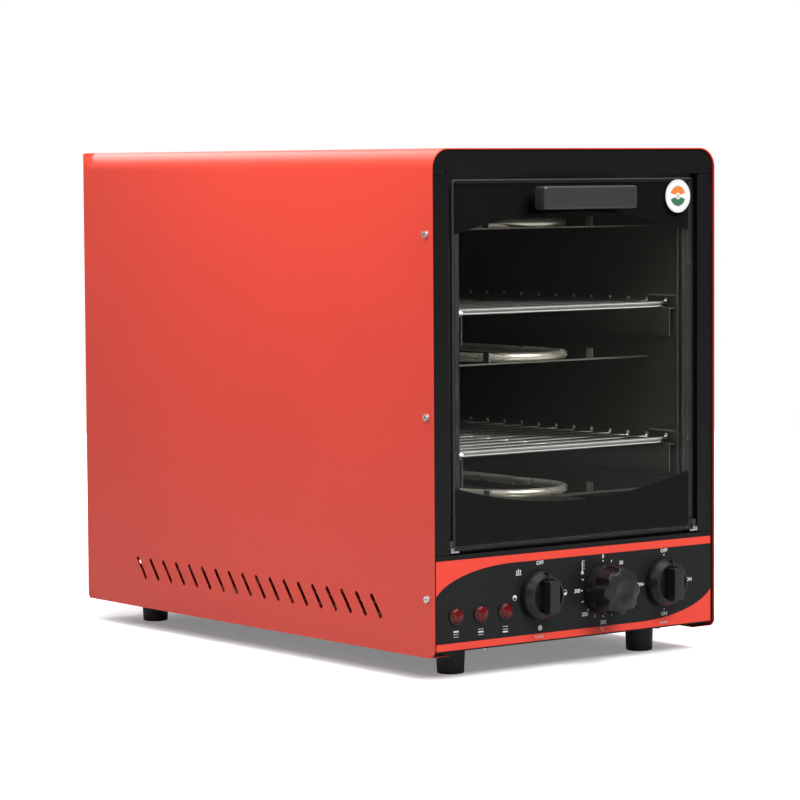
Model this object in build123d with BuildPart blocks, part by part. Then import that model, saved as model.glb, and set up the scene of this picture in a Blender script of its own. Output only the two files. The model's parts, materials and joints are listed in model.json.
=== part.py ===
import os
from math import atan2, degrees

from build123d import *

os.makedirs("parts", exist_ok=True)

# Driving sizes of the oven, in millimetres
width = 336.0             # shell, side to side
depth = 568.0             # shell, front edge to rear edge
height = 450.0            # shell, underside to top
foot_height = 22.0
bend = 18.0               # outer radius of the shell's two top bends
skin = 1.0                # shell and chamber sheet
sheet = 1.2               # fascia, base and back sheet
knob_reach = 29.0         # thermostat knob's face in front of the shell's edge
gland_reach = 19.0        # cable gland behind the rear cover
front = knob_reach - (knob_reach + depth + gland_reach) / 2

# Fascia and door, measured behind the shell's front edge and above its underside
fascia = 2.0              # how far the black front sits behind the edge
inner_half = width / 2 - skin - 0.2
panel_low = 4.4           # control panel's lower edge
panel_top = 90.4          # control panel's upper edge
header_low = 426.4        # lower edge of the header over the door
opening_half = 148.0      # door opening between the two stiles
glass_half = 143.2
glass_low = 93.9
glass_top = 422.4
glass_front = 2.2
glass_thick = 4.0
mask_thick = 0.2
glass_rear = glass_front + glass_thick
hinge_back = 5.2
hinge_up = 97.6
pin_r = 1.4

# Baking chamber
chamber_half = 132.5
mouth_half = 131.0
mouth_low = 113.0
mouth_top = 410.0
ring_back = 12.0          # plane that the door seal lies on
chamber_back = 472.0      # inside face of the chamber's rear wall
chamber_top = 412.0
tray_top = 141.0          # upstand of the chamber's floor
bay_top = 95.0            # sheet between the chamber and the control bay
rear_bay = 500.0          # start of the wiring space behind the insulation

# Racks and heaters
runner_heights = {"lower": 174.3, "upper": 301.3}
runner_half = 123.5       # inner edge of the ledges
rack_front = 22.0
rack_depth = 402.0
rod_count = 16
heater_heights = {"bottom": 133.8, "centre": 259.2, "top": 382.2}
heater_half = 58.0
heater_bend_back = 112.0
heater_r = 4.0

# Control panel
knob_level = 46.9
selector_x = -45.0
thermostat_x = 30.5
centre_x = 105.6
shaft_r = 3.0
running = 0.05            # radial clearance of shafts and pins
lamp_level = 36.0
lamp_xs = (-142.2, -113.9, -85.6)

# Handle
handle_half = 55.0
handle_level = 405.5
handle_tall = 21.0
handle_gap = 7.4          # between the glass and the bar
handle_deep = 14.3
post_x = 38.0


def back(distance):
    """Row Y of a place this far behind the shell's front edge."""
    return front + distance


def up(distance):
    """Row Z of a place this far above the shell's underside."""
    return foot_height + distance


def face(distance):
    """Upright plane this far behind the front edge, facing the user."""
    return Plane.XZ.offset(-back(distance))


def side(x):
    """Upright plane across the oven at x, with the depth as its first axis."""
    return Plane.YZ.offset(x)


def rear_face(distance):
    """Upright plane this far behind the front edge, facing the rear."""
    return Plane(origin=(0, back(distance), 0), x_dir=(-1, 0, 0), z_dir=(0, 1, 0))


def level(distance):
    """Flat plane this far above the shell's underside."""
    return Plane.XY.offset(up(distance))


def save(builder, name):
    """Label a finished piece and write it under its node's name."""
    builder.part.label = name
    export_step(builder.part, f"parts/{name}.step")


def block(x, y, z, mode=Mode.ADD):
    """Box between pairs of x, of distance behind the front and of height."""
    middle = (sum(x) / 2, back(sum(y) / 2), up(sum(z) / 2))
    with Locations(middle):
        Box(x[1] - x[0], y[1] - y[0], z[1] - z[0], mode=mode)


def screw_out(plane, places, shank, head_r=3.5, head_h=2.2):
    """Pan heads on a plane with their shanks behind it and a cross recess."""
    with BuildSketch(plane) as heads:
        with Locations(*places):
            Circle(head_r)
    with BuildSketch(plane) as shanks:
        with Locations(*places):
            Circle(1.7)
    with BuildSketch(plane.offset(head_h)) as recesses:
        with Locations(*places):
            Rectangle(3.2, 0.9)
            Rectangle(0.9, 3.2)
    extrude(heads.sketch, amount=head_h, taper=12)
    extrude(shanks.sketch, amount=-shank)
    extrude(recesses.sketch, amount=-1.2, mode=Mode.SUBTRACT)


# Painted wrap-round shell: two sides and the top in one bent sheet, turned in at the rear
# and along its two lower edges
slot_pitch = 22.59
slot_first = 85.0
slot_level = 39.3
slot_long = 26.0
slot_wide = 4.6
slot_count = 18
slot_angle = degrees(atan2(20.4, 15.6))
side_screw_levels = (52.4, 213.5, 374.7)
side_screw_inset = 9.2
side_screws = [(back(side_screw_inset), up(z)) for z in side_screw_levels]
shell_depth = depth - sheet
lower_flange = 21.0
rear_flange = 16.0
rear_screws = [(x, up(z)) for x in (-160, 160) for z in (30, 225, 420)]
slot_places = [(back(slot_first + slot_pitch * i), up(slot_level)) for i in range(slot_count)]
with BuildPart() as outer_shell:
    for start, length, thick in ((0, shell_depth, skin), (shell_depth - skin, skin, rear_flange)):
        with BuildSketch(face(start)):
            with Locations((0, up(height / 2))):
                Rectangle(width, height)
            fillet(vertices().group_by(Axis.Y)[-1], bend)
            with BuildSketch(mode=Mode.SUBTRACT):
                with Locations((0, up(height / 2 - thick))):
                    Rectangle(width - 2 * thick, height)
                fillet(vertices().group_by(Axis.Y)[-1], max(bend - thick, 1))
        extrude(amount=-length)
    for hand in (-1, 1):
        block(sorted((hand * (width / 2 - lower_flange), hand * (width / 2 - 0.5))),
              (0, shell_depth), (0, skin))
    with BuildSketch(side(-width / 2)):
        with Locations((back(shell_depth / 2), up(height / 2))):
            Rectangle(shell_depth, height)
        fillet(vertices().group_by(Axis.Y)[0].sort_by(Axis.X)[0], 8)
        fillet(vertices().group_by(Axis.Y)[0].sort_by(Axis.X)[-1], 2.5)
    extrude(amount=width, mode=Mode.INTERSECT)
    with BuildSketch(side(-width / 2)):
        with Locations(*slot_places):
            SlotOverall(slot_long, slot_wide, rotation=slot_angle)
        with Locations(*side_screws):
            Circle(1.9)
    extrude(amount=width, mode=Mode.SUBTRACT)
    with BuildSketch(face(shell_depth - skin)):
        with Locations(*rear_screws):
            Circle(1.9)
    extrude(amount=-skin, mode=Mode.SUBTRACT)
save(outer_shell, "outer_shell")

# Screws that hold the shell to the stiles and the control panel
with BuildPart() as shell_screws:
    for plane in (side(width / 2), Plane(origin=(-width / 2, 0, 0), x_dir=(0, -1, 0),
                                         z_dir=(-1, 0, 0))):
        flip = 1 if plane.z_dir.X > 0 else -1
        screw_out(plane, [(flip * y, z) for y, z in side_screws], 7)
save(shell_screws, "shell_screws")


def fascia_outline(low, top, inset, corner):
    """Outline of a fascia piece as wide as the shell's inside."""
    with Locations((0, up((low + top) / 2))):
        Rectangle(2 * (inner_half - inset), top - low - 2 * inset)
    if corner:
        fillet(vertices().group_by(Axis.Y)[-1], corner - inset)


# Header: the black strip over the door, a shallow pan with rounded top corners
header_top = height - skin - 0.2
header_corner = bend - skin - 0.2
header_screw_places = [(-149, up(429.8)), (149, up(429.8))]
with BuildPart() as header:
    with BuildSketch(face(fascia)):
        fascia_outline(header_low, header_top, 0, header_corner)
    extrude(amount=-14)
    with BuildSketch(face(fascia + sheet)):
        fascia_outline(header_low, header_top, sheet, header_corner)
    extrude(amount=-14, mode=Mode.SUBTRACT)
    with BuildSketch(face(fascia)):
        with Locations(*header_screw_places):
            Circle(1.8)
    extrude(amount=-2, mode=Mode.SUBTRACT)
save(header, "header")

with BuildPart() as header_screws:
    screw_out(face(fascia), header_screw_places, 6, 2.2, 1.2)
save(header_screws, "header_screws")

# Stiles: two C-section posts beside the door, hinge holes near the foot
stile_low = panel_top + 0.5
stile_top = header_low - 0.5
for name, hand in (("left_stile", -1), ("right_stile", 1)):
    with BuildPart() as stile:
        x_in = hand * opening_half
        x_out = hand * inner_half
        block(sorted((x_in, x_out)), (fascia, fascia + sheet), (stile_low, stile_top))
        block(sorted((x_in, x_in + hand * sheet)), (fascia, ring_back), (stile_low, stile_top))
        block(sorted((x_out - hand * sheet, x_out)), (fascia, 22), (stile_low, stile_top))
        with BuildSketch(side(x_in - hand)):
            with Locations((back(hinge_back), up(hinge_up))):
                Circle(pin_r + 0.2)
        extrude(amount=hand * 4, mode=Mode.SUBTRACT)
        with BuildSketch(side(x_out + hand)):
            with Locations(*[(back(side_screw_inset), up(z)) for z in side_screw_levels[1:]]):
                Circle(1.9)
        extrude(amount=-hand * 4, mode=Mode.SUBTRACT)
    save(stile, name)

# Hinge brackets: drilled plates behind the stiles that carry the door's pins
bracket_front = fascia + sheet + 0.1
with BuildPart() as hinge_brackets:
    for hand in (-1, 1):
        x_near = hand * (opening_half + sheet + 0.1)
        with BuildSketch(side(x_near)):
            with Locations((back((bracket_front + ring_back) / 2), up(hinge_up + 3))):
                Rectangle(ring_back - bracket_front, 18)
            with Locations((back(hinge_back), up(hinge_up))):
                Circle(pin_r + running, mode=Mode.SUBTRACT)
        extrude(amount=hand * 2.4)
save(hinge_brackets, "hinge_brackets")

# Control panel: the black pan under the door
shaft_places = [(x, up(knob_level)) for x in (selector_x, thermostat_x, centre_x)]
lamp_places = [(x, up(lamp_level)) for x in lamp_xs]
panel_screw_places = [(-104, back(9)), (104, back(9))]
with BuildPart() as control_panel:
    with BuildSketch(face(fascia)):
        fascia_outline(panel_low, panel_top, 0, 0)
    extrude(amount=-20)
    with BuildSketch(face(fascia + sheet)):
        fascia_outline(panel_low, panel_top, sheet, 0)
    extrude(amount=-20, mode=Mode.SUBTRACT)
    with BuildSketch(face(fascia)):
        with Locations(*shaft_places):
            Circle(5.2)
        with Locations(*lamp_places):
            Circle(6.1)
    extrude(amount=-2, mode=Mode.SUBTRACT)
    with BuildSketch(level(panel_low)):
        with Locations(*panel_screw_places):
            Circle(1.8)
    extrude(amount=2, mode=Mode.SUBTRACT)
    with BuildSketch(side(-width / 2)):
        with Locations((back(side_screw_inset), up(side_screw_levels[0]))):
            Circle(1.9)
    extrude(amount=width, mode=Mode.SUBTRACT)
save(control_panel, "control_panel")

with BuildPart() as panel_screws:
    under_panel = Plane(origin=(0, 0, up(panel_low)), x_dir=(1, 0, 0), z_dir=(0, 0, -1))
    screw_out(under_panel, [(x, -y) for x, y in panel_screw_places], 7, 3, 1.8)
save(panel_screws, "panel_screws")

# Printed label on the control panel: a red sheet with a black field laid on it
label_half = 164.3
label_low = 5.8
label_top = 86.0
label_thick = 0.25
field_low = 12.2
field_top = 79.0
corner_x = 75.0
corner_wide = 93.0
corner_high = 34.0
with BuildPart() as panel_label:
    with BuildSketch(face(fascia)):
        with Locations((0, up((label_low + label_top) / 2))):
            Rectangle(2 * label_half, label_top - label_low)
        with Locations(*shaft_places):
            Circle(5.2, mode=Mode.SUBTRACT)
        with Locations(*lamp_places):
            Circle(6.1, mode=Mode.SUBTRACT)
    extrude(amount=label_thick)
save(panel_label, "panel_label")

with BuildPart() as label_field:
    with BuildSketch(face(fascia - label_thick)):
        with Locations((0, up((field_low + field_top) / 2))):
            Rectangle(2 * label_half, field_top - field_low)
        for hand in (-1, 1):
            edge = field_low if hand > 0 else field_top
            centre = edge + hand * corner_high
            with Locations((hand * (corner_x + label_half) / 2, up((edge + centre) / 2))):
                Rectangle(label_half - corner_x, corner_high, mode=Mode.SUBTRACT)
            with Locations((hand * corner_x, up(centre))):
                Ellipse(corner_wide, corner_high)
        with Locations((0, up((field_low + field_top) / 2))):
            Rectangle(2 * label_half, field_top - field_low, mode=Mode.INTERSECT)
        with Locations(*shaft_places):
            Circle(5.2, mode=Mode.SUBTRACT)
        with Locations(*lamp_places):
            Circle(6.1, mode=Mode.SUBTRACT)
    extrude(amount=0.15)
save(label_field, "label_field")

# Indicator lamps: faceted red lenses in the panel, with their holders behind it
label_face = fascia - label_thick - 0.15
with BuildPart() as indicator_lenses:
    with BuildSketch(face(label_face)):
        with Locations(*lamp_places):
            Circle(8.2)
    extrude(amount=1.4)
    with BuildSketch(face(label_face - 1.4)):
        with Locations(*lamp_places):
            Circle(7.2)
    extrude(amount=3.4, taper=32)
    fillet(edges().group_by(Axis.Y)[0], 1.2)
save(indicator_lenses, "indicator_lenses")

with BuildPart() as indicator_bodies:
    with BuildSketch(face(label_face)):
        with Locations(*lamp_places):
            Circle(6.0)
    extrude(amount=-(fascia - label_face + sheet + 22))
    with BuildSketch(face(fascia + sheet)):
        with Locations(*lamp_places):
            RegularPolygon(9, 6)
    extrude(amount=-4)
    with BuildSketch(face(fascia + sheet + 22)):
        for x, z in lamp_places:
            with Locations((x - 2.5, z), (x + 2.5, z)):
                Rectangle(0.8, 4)
    extrude(amount=-9)
save(indicator_bodies, "indicator_bodies")

# Four-position knobs: a bevelled skirt, two scooped halves and a thick bar grip
skirt_r = 22.3
bevel_high = 7.0
bevel_in = 4.0
scoop_r = 16.4
bar_wide = 11.8
bar_long = 29.6
knob_gap = 1.0
skirt_back = label_face - knob_gap
skirt_high = 4.2
rim = skirt_back - skirt_high - bevel_high
scoop_floor = rim + 4.4
bar_front = -20.5
for name, x in (("selector_knob", selector_x), ("centre_heater_knob", centre_x)):
    with BuildPart() as knob:
        with BuildSketch(face(skirt_back)):
            with Locations((x, up(knob_level))):
                Circle(skirt_r)
        extrude(amount=skirt_high)
        with BuildSketch(face(skirt_back - skirt_high)):
            with Locations((x, up(knob_level))):
                Circle(skirt_r)
        extrude(amount=bevel_high, taper=degrees(atan2(bevel_in, bevel_high)))
        with BuildSketch(face(scoop_floor)):
            with Locations((x, up(knob_level))):
                Circle(scoop_r)
        extrude(amount=20, mode=Mode.SUBTRACT)
        with BuildSketch(face(scoop_floor)):
            with Locations((x, up(knob_level))):
                RectangleRounded(bar_wide, bar_long, 2)
        extrude(amount=scoop_floor - bar_front)
        fillet(edges().group_by(Axis.Y)[0], 1.4)
        with BuildSketch(face(skirt_back - 2)):
            with Locations((x, up(knob_level + 18.2))):
                Rectangle(1.8, 6.4)
        extrude(amount=skirt_back - 2 - rim + 1)
        with BuildSketch(face(skirt_back)):
            with Locations((x, up(knob_level))):
                Circle(shaft_r + running)
        extrude(amount=14, mode=Mode.SUBTRACT)
    save(knob, name)

# Thermostat knob: a round grip with eight short flutes and a crowned, dished face
thermo_r = 23.0
thermo_rim_r = 21.4
thermo_rim = -25.1
thermo_front = -knob_reach
dish_r = 10.4
dish_deep = 1.8
dish_ball = (dish_r ** 2 + dish_deep ** 2) / (2 * dish_deep)
flute_r = 5.8
flute_back = -10.0
with BuildPart() as thermostat_knob:
    with BuildSketch(side(thermostat_x)):
        with BuildLine():
            Polyline((back(thermo_front), up(knob_level)), (back(skirt_back), up(knob_level)),
                     (back(skirt_back), up(knob_level + thermo_r)),
                     (back(thermo_rim), up(knob_level + thermo_rim_r)),
                     (back(thermo_front), up(knob_level + dish_r)),
                     (back(thermo_front), up(knob_level)))
        make_face()
    revolve(axis=Axis((thermostat_x, 0, up(knob_level)), (0, 1, 0)))
    with Locations((thermostat_x, back(thermo_front + dish_deep - dish_ball), up(knob_level))):
        Sphere(dish_ball, mode=Mode.SUBTRACT)
    with BuildSketch(face(flute_back)):
        with Locations((thermostat_x, up(knob_level))):
            with PolarLocations(thermo_rim_r + 2.6, 8, 22.5):
                Circle(flute_r)
    extrude(amount=30, mode=Mode.SUBTRACT)
    with BuildSketch(face(skirt_back)):
        with Locations((thermostat_x, up(knob_level))):
            Circle(shaft_r + running)
    extrude(amount=18, mode=Mode.SUBTRACT)
save(thermostat_knob, "thermostat_knob")

# Shafts, each fixed in its knob and running in its switch
shaft_end = fascia + sheet + 16
for name, x, reach in (("selector_shaft", selector_x, 13.5),
                       ("thermostat_shaft", thermostat_x, 17.5),
                       ("centre_heater_shaft", centre_x, 13.5)):
    with BuildPart() as shaft:
        with BuildSketch(face(skirt_back - reach)):
            with Locations((x, up(knob_level))):
                Circle(shaft_r)
        extrude(amount=-(shaft_end - skirt_back + reach))
    save(shaft, name)

# Rotary switches and the thermostat, screwed to the back of the panel
bush_r = 4.9
for name, x in (("selector_switch", selector_x), ("centre_heater_switch", centre_x)):
    with BuildPart() as switch:
        block((x - 17, x + 17), (fascia + sheet + 0.1, 34), (knob_level - 17, knob_level + 17))
        fillet(edges().filter_by(Axis.Y), 4)
        with BuildSketch(face(fascia + 0.2)):
            with Locations((x, up(knob_level))):
                Circle(bush_r)
        extrude(amount=-3)
        with BuildSketch(face(34)):
            with Locations((x, up(knob_level))):
                with GridLocations(11, 11, 3, 2):
                    Rectangle(0.8, 6.3)
        extrude(amount=-8)
        with BuildSketch(face(fascia)):
            with Locations((x, up(knob_level))):
                Circle(shaft_r + running)
        extrude(amount=-(shaft_end + 1), mode=Mode.SUBTRACT)
    save(switch, name)

bulb_x = 100.0
bulb_level = 225.0
capillary_r = 1.0
with BuildPart() as thermostat_body:
    with BuildSketch(face(fascia + sheet + 0.1)):
        with Locations((thermostat_x, up(knob_level))):
            Circle(21)
            Rectangle(60, 16)
    extrude(amount=-1.5)
    with BuildSketch(face(fascia + sheet + 1.6)):
        with Locations((thermostat_x, up(knob_level))):
            Circle(20)
    extrude(amount=-30)
    with BuildSketch(face(fascia + 0.2)):
        with Locations((thermostat_x, up(knob_level))):
            Circle(bush_r)
    extrude(amount=-3)
    with BuildSketch(face(fascia)):
        with Locations((thermostat_x, up(knob_level))):
            Circle(shaft_r + running)
    extrude(amount=-(shaft_end + 1), mode=Mode.SUBTRACT)
save(thermostat_body, "thermostat_body")

with BuildPart() as thermostat_bulb:
    with BuildLine() as capillary:
        FilletPolyline((thermostat_x, back(35), up(knob_level)),
                       (thermostat_x, back(70), up(knob_level)),
                       (bulb_x, back(140), up(60)),
                       (bulb_x, back(530), up(60)),
                       (bulb_x, back(530), up(bulb_level)),
                       (bulb_x, back(chamber_back - 5), up(bulb_level)), radius=18)
    with BuildSketch(face(35)):
        with Locations((thermostat_x, up(knob_level))):
            Circle(capillary_r)
    sweep()
    with BuildSketch(face(chamber_back - 2)):
        with Locations((bulb_x, up(bulb_level))):
            Circle(3)
    extrude(amount=86)
save(thermostat_bulb, "thermostat_bulb")

# Door glass with the black print fired on its back
post_places = [(-post_x, up(handle_level)), (post_x, up(handle_level))]
with BuildPart() as door_glass:
    with BuildSketch(face(glass_front)):
        with Locations((0, up((glass_low + glass_top) / 2))):
            RectangleRounded(2 * glass_half, glass_top - glass_low, 3)
    extrude(amount=-glass_thick)
    chamfer(edges().group_by(Axis.Y)[0], 0.9)
    with BuildSketch(face(glass_front)):
        with Locations(*post_places):
            Circle(2.4)
    extrude(amount=-glass_thick, mode=Mode.SUBTRACT)
save(door_glass, "door_glass")

print_edge = 3.5
arch_rise = 19.0
print_low = glass_low + print_edge
print_top = glass_top - print_edge
print_half = glass_half - print_edge
upper_print_low = 373.6
lower_print_top = 149.3
with BuildPart() as upper_print:
    with BuildSketch(face(glass_rear)):
        with BuildLine():
            Line((-print_half, up(upper_print_low)), (-print_half, up(print_top)))
            Line((-print_half, up(print_top)), (print_half, up(print_top)))
            Line((print_half, up(print_top)), (print_half, up(upper_print_low)))
            ThreePointArc((print_half, up(upper_print_low)),
                          (0, up(upper_print_low + arch_rise)),
                          (-print_half, up(upper_print_low)))
        make_face()
        with Locations(*post_places):
            Circle(2.4, mode=Mode.SUBTRACT)
    extrude(amount=-mask_thick)
save(upper_print, "upper_print")

with BuildPart() as lower_print:
    with BuildSketch(face(glass_rear)):
        with BuildLine():
            Line((-print_half, up(lower_print_top)), (-print_half, up(print_low)))
            Line((-print_half, up(print_low)), (print_half, up(print_low)))
            Line((print_half, up(print_low)), (print_half, up(lower_print_top)))
            ThreePointArc((print_half, up(lower_print_top)),
                          (0, up(lower_print_top - arch_rise)),
                          (-print_half, up(lower_print_top)))
        make_face()
    extrude(amount=-mask_thick)
save(lower_print, "lower_print")

# Bright clips on the glass's lower corners: each shows a low L in front, folds under and
# behind the glass, and carries a hinge pin on its end plate
clip_out = opening_half - 0.5
clip_in = 138.4
clip_low = glass_low - 1.5
clip_high = glass_low + 9.1
clip_front = glass_front - 0.8
clip_sheet = 0.8
clip_fit = 0.05
clip_inside = glass_rear + mask_thick + clip_fit
lip = 1.5
lip_high = 4.0
for name, hand in (("left_hinge_clip", -1), ("right_hinge_clip", 1)):
    with BuildPart() as clip:
        block(sorted((hand * clip_in, hand * clip_out)), (clip_front, clip_inside + clip_sheet),
              (clip_low, clip_high))
        block(sorted((hand * (clip_in - 1), hand * (glass_half + clip_fit))),
              (glass_front - clip_fit, clip_inside), (glass_low - clip_fit, clip_high + 1),
              mode=Mode.SUBTRACT)
        block(sorted((hand * (clip_in - 1), hand * (clip_out - lip))),
              (clip_front - 1, glass_front), (clip_low + lip, clip_high + 1), mode=Mode.SUBTRACT)
        block(sorted((hand * (clip_in - 1), hand * (clip_out + 1))),
              (clip_front - 1, glass_front + 1.4), (clip_low + lip_high, clip_high + 1),
              mode=Mode.SUBTRACT)
        with BuildSketch(side(hand * (clip_out - 0.5))):
            with Locations((back(hinge_back), up(hinge_up))):
                Circle(pin_r)
        extrude(amount=hand * 4.6)
    save(clip, name)

# Handle: a moulded bar on two posts, open behind for the fingers
bar_back = glass_front - handle_gap
with BuildPart() as door_handle:
    with BuildSketch(face(bar_back)):
        with Locations((0, up(handle_level))):
            RectangleRounded(2 * handle_half, handle_tall, 3)
    extrude(amount=handle_deep)
    fillet(edges().group_by(Axis.Y)[0], 2.2)
    with BuildSketch(face(bar_back)):
        with Locations((0, up(handle_level))):
            RectangleRounded(2 * (post_x - 9), handle_tall - 6, 3)
    extrude(amount=6, mode=Mode.SUBTRACT)
    with BuildSketch(face(bar_back)):
        with Locations(*post_places):
            Circle(6)
    extrude(amount=-handle_gap)
    with BuildSketch(face(glass_front)):
        with Locations(*post_places):
            Circle(1.8)
    extrude(amount=12, mode=Mode.SUBTRACT)
save(door_handle, "door_handle")

with BuildPart() as handle_screws:
    screw_out(rear_face(glass_rear + mask_thick), post_places, 13)
save(handle_screws, "handle_screws")

# Round paper sticker near the glass's upper corner
with BuildPart() as round_sticker:
    with BuildSketch(face(glass_front)):
        with Locations((123.8, up(405.5))):
            Circle(15.3)
    extrude(amount=0.15)
save(round_sticker, "round_sticker")

# Ring round the chamber's mouth, with its screws and the seal that the door closes on
ring_half = 150.0
ring_low = 105.0
ring_thick = 1.2
ring_screws = [(x, up(z)) for x in (-144, 144) for z in (178, 343)]
with BuildPart() as mouth_ring:
    with BuildSketch(face(ring_back)):
        with Locations((0, up((ring_low + header_low) / 2))):
            Rectangle(2 * ring_half, header_low - ring_low - 0.4)
        with Locations((0, up((mouth_low + mouth_top) / 2))):
            RectangleRounded(2 * mouth_half, mouth_top - mouth_low, 4, mode=Mode.SUBTRACT)
        with Locations(*ring_screws):
            Circle(1.9, mode=Mode.SUBTRACT)
    extrude(amount=-ring_thick)
save(mouth_ring, "mouth_ring")

with BuildPart() as mouth_screws:
    screw_out(face(ring_back), ring_screws, 4.6, 2.6, 1.6)
save(mouth_screws, "mouth_screws")

seal_wide = 6.6
seal_half = mouth_half + 1.5 + seal_wide
seal_low = ring_low + 0.2
seal_top = mouth_top + 1.5 + seal_wide
seal_front = glass_rear + mask_thick + 0.3
with BuildPart() as door_seal:
    with BuildSketch(face(ring_back)):
        with Locations((0, up((seal_low + seal_top) / 2))):
            RectangleRounded(2 * seal_half, seal_top - seal_low, 8)
        offset(amount=-seal_wide, mode=Mode.SUBTRACT)
    extrude(amount=ring_back - seal_front)
    fillet(edges().group_by(Axis.Y)[0], 2)
save(door_seal, "door_seal")

# Baking chamber: one sheet bent round the sides and roof, a rear wall and a floor tray
wall_start = ring_back + ring_thick
leg_places = [(x, up(z)) for z in heater_heights.values() for x in (-heater_half, heater_half)]
with BuildPart() as chamber_wrap:
    with BuildSketch(face(wall_start)):
        with Locations((0, up((mouth_low - skin + chamber_top + skin) / 2))):
            Rectangle(2 * (chamber_half + skin), chamber_top - mouth_low + 2 * skin)
        with Locations((0, up((mouth_low - skin + chamber_top) / 2))):
            Rectangle(2 * chamber_half, chamber_top - mouth_low + skin, mode=Mode.SUBTRACT)
    extrude(amount=-(chamber_back + skin - wall_start))
save(chamber_wrap, "chamber_wrap")

with BuildPart() as chamber_rear_wall:
    with BuildSketch(face(chamber_back)):
        with Locations((0, up((mouth_low + chamber_top) / 2))):
            Rectangle(2 * chamber_half - 0.2, chamber_top - mouth_low - 0.2)
        with Locations(*leg_places):
            Circle(heater_r + 0.2, mode=Mode.SUBTRACT)
        with Locations((bulb_x, up(bulb_level))):
            Circle(3.4, mode=Mode.SUBTRACT)
    extrude(amount=-skin)
save(chamber_rear_wall, "chamber_rear_wall")

tray_half = chamber_half - 0.2
tray_back = chamber_back - 0.1
with BuildPart() as chamber_floor:
    block((-tray_half, tray_half), (wall_start + 0.1, tray_back), (mouth_low - skin, mouth_low))
    block((-tray_half, tray_half), (tray_back - skin, tray_back), (mouth_low, tray_top - 15))
    for hand in (-1, 1):
        block(sorted((hand * tray_half, hand * (tray_half - skin))),
              (wall_start + 0.1, tray_back), (mouth_low, tray_top))
save(chamber_floor, "chamber_floor")

# Rack runners: four inverted channels on the side walls, and short guides over them
runner_drop = 26.0
runner_end = 440.0
with BuildPart() as rack_runners:
    for hand in (-1, 1):
        for z in runner_heights.values():
            block(sorted((hand * runner_half, hand * (chamber_half - 0.1))), (15, runner_end),
                  (z - skin, z))
            for x in (runner_half, chamber_half - 0.1 - skin):
                block(sorted((hand * x, hand * (x + skin))), (15, runner_end),
                      (z - runner_drop, z))
save(rack_runners, "rack_runners")

with BuildPart() as rack_guides:
    for hand in (-1, 1):
        for z in runner_heights.values():
            block(sorted((hand * 129.2, hand * (chamber_half - 0.1))), (14, 50),
                  (z + 11, z + 12.5))
save(rack_guides, "rack_guides")

# Wire racks: a bent frame wire, cross rods with upturned ends and one wire beneath
frame_wire = 2.0
rod_r = 1.6
rack_half = 126.2
rod_pitch = 26.4
wire_up = frame_wire + 0.3
rod_up = wire_up + frame_wire + rod_r - 0.3
rack_end = rack_front + rack_depth - 2 * frame_wire
rack_corners = ((rack_half, rack_front), (rack_half, rack_end),
                (-rack_half, rack_end), (-rack_half, rack_front))
for name, ledge in runner_heights.items():
    rod_backs = [back(rack_front + rod_pitch * i) for i in range(rod_count)]
    with BuildPart() as rack:
        with BuildLine(level(ledge + wire_up)):
            outline = FilletPolyline(*[(x, back(y)) for x, y in rack_corners], radius=9, close=True)
        with BuildSketch(Plane(origin=outline @ 0, z_dir=outline % 0)):
            Circle(frame_wire)
        sweep()
        with BuildSketch(side(-rack_half)):
            with Locations(*[(y, up(ledge + rod_up)) for y in rod_backs]):
                Circle(rod_r)
        extrude(amount=2 * rack_half)
        with BuildSketch(level(ledge + rod_up)):
            with Locations(*[(x, y) for y in rod_backs for x in (-rack_half, rack_half)]):
                Circle(rod_r)
        extrude(amount=3.8)
        with BuildSketch(face(rack_front)):
            with Locations((0, up(ledge + rod_up - 3))):
                Circle(rod_r)
        extrude(amount=-(rack_end - rack_front))
    save(rack, f"rack_{name}")

# Heaters: three bright hairpin tubes through the rear wall, each on a strip in front
heater_end = 506.0
for name, z in heater_heights.items():
    with BuildPart() as heater:
        with BuildLine(level(z)):
            Line((-heater_half, back(heater_end)), (-heater_half, back(heater_bend_back)))
            ThreePointArc((-heater_half, back(heater_bend_back)),
                          (0, back(heater_bend_back - heater_half)),
                          (heater_half, back(heater_bend_back)))
            Line((heater_half, back(heater_bend_back)), (heater_half, back(heater_end)))
        with BuildSketch(face(heater_end)):
            with Locations((-heater_half, up(z))):
                Circle(heater_r)
        sweep()
    save(heater, f"heater_{name}")

    strip_half = tray_half - skin - 0.1 if name == "bottom" else chamber_half - 0.1
    strip_top = z - heater_r - 0.05
    with BuildPart() as heater_support:
        block((-strip_half, strip_half), (53, 61), (strip_top - 1.2, strip_top))
        for x in (-62, 62):
            block((x - 0.5, x + 0.5), (53, 61), (strip_top, z + 5.5))
    save(heater_support, f"heater_support_{name}")

with BuildPart() as heater_bushes:
    with BuildSketch(face(chamber_back + skin)):
        for place in leg_places:
            with Locations(place):
                RegularPolygon(7, 6)
                Circle(heater_r + 0.1, mode=Mode.SUBTRACT)
    extrude(amount=-6)
save(heater_bushes, "heater_bushes")

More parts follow.
